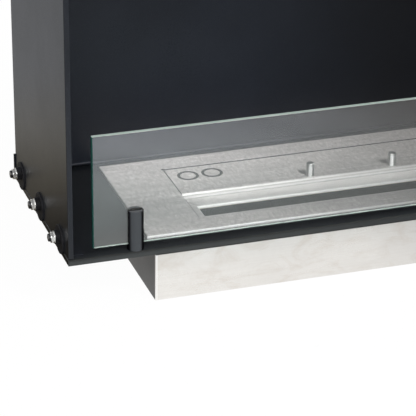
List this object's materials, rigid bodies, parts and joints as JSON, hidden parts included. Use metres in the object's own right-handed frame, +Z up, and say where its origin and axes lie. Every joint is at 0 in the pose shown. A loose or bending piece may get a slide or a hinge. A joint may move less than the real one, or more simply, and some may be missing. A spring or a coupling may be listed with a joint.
{
  "type": "bioethanol fireplace",
  "caption": "Open-fronted black steel bioethanol firebox with a glass screen in slotted posts, and a stainless burner whose lid slides over the flame slot.",
  "frame": {"origin": "middle of the footprint, on the flat underside of the burner housing", "axes": "+X to the right seen from the room, +Y towards the wall, +Z up; the open front faces -Y"},
  "size_m": [0.8818, 0.2726, 0.566],
  "materials": {
    "casing_black": "fine matt black powder coat",
    "post_black": "satin black coat",
    "brushed_stainless": "brushed along the width",
    "facia_stainless": "fine brushed, bright",
    "tank_stainless": "plain mill finish",
    "pin_steel": "polished",
    "zinc": "bright zinc plate",
    "dark_bolt": "black oxide",
    "rivet_black": "fine matt black powder coat",
    "pad_rubber": "matt black moulded rubber",
    "seat_rubber": "soft black rubber",
    "screen_glass": "clear toughened, polished edges",
    "ceramic_wool": "matt ceramic fibre felt"
  },
  "bodies": {
    "casing": {"base_tray": "casing_black", "left_angle": "casing_black", "right_angle": "casing_black", "left_side_panel": "casing_black", "right_side_panel": "casing_black", "back_panel": "casing_black", "top_panel": "casing_black", "rear_rail": "casing_black", "burner_housing": "casing_black", "front_facia": "facia_stainless", "facia_studs": "zinc", "facia_nuts": "zinc", "left_post": "post_black", "right_post": "post_black", "glass_seats": "seat_rubber", "post_screws": "zinc", "side_pads": "pad_rubber", "side_washers": "zinc", "side_nuts": "zinc", "side_bolts": "dark_bolt", "angle_rivets": "rivet_black", "housing_rivets": "rivet_black", "back_screws": "rivet_black", "top_screws": "rivet_black"},
    "burner": {"burner_plate": "brushed_stainless", "recess_tray": "brushed_stainless", "fuel_tank": "tank_stainless", "wool_block": "ceramic_wool"},
    "lid": {"sliding_lid": "brushed_stainless", "lid_pins": "pin_steel", "lid_pin_nuts": "zinc"},
    "glass": {"glass_pane": "screen_glass"}
  },
  "joints": [
    {"name": "burner_lift", "type": "slide", "parent": "casing", "child": "burner", "axis": [0, 0, 1], "range_m": [0, 0.08]},
    {"name": "lid_slide", "type": "slide", "parent": "burner", "child": "lid", "axis": [0, -1, 0], "range_m": [0, 0.071]},
    {"name": "glass_lift", "type": "slide", "parent": "casing", "child": "glass", "axis": [0, 0, 1], "range_m": [0, 0.06]}
  ]
}
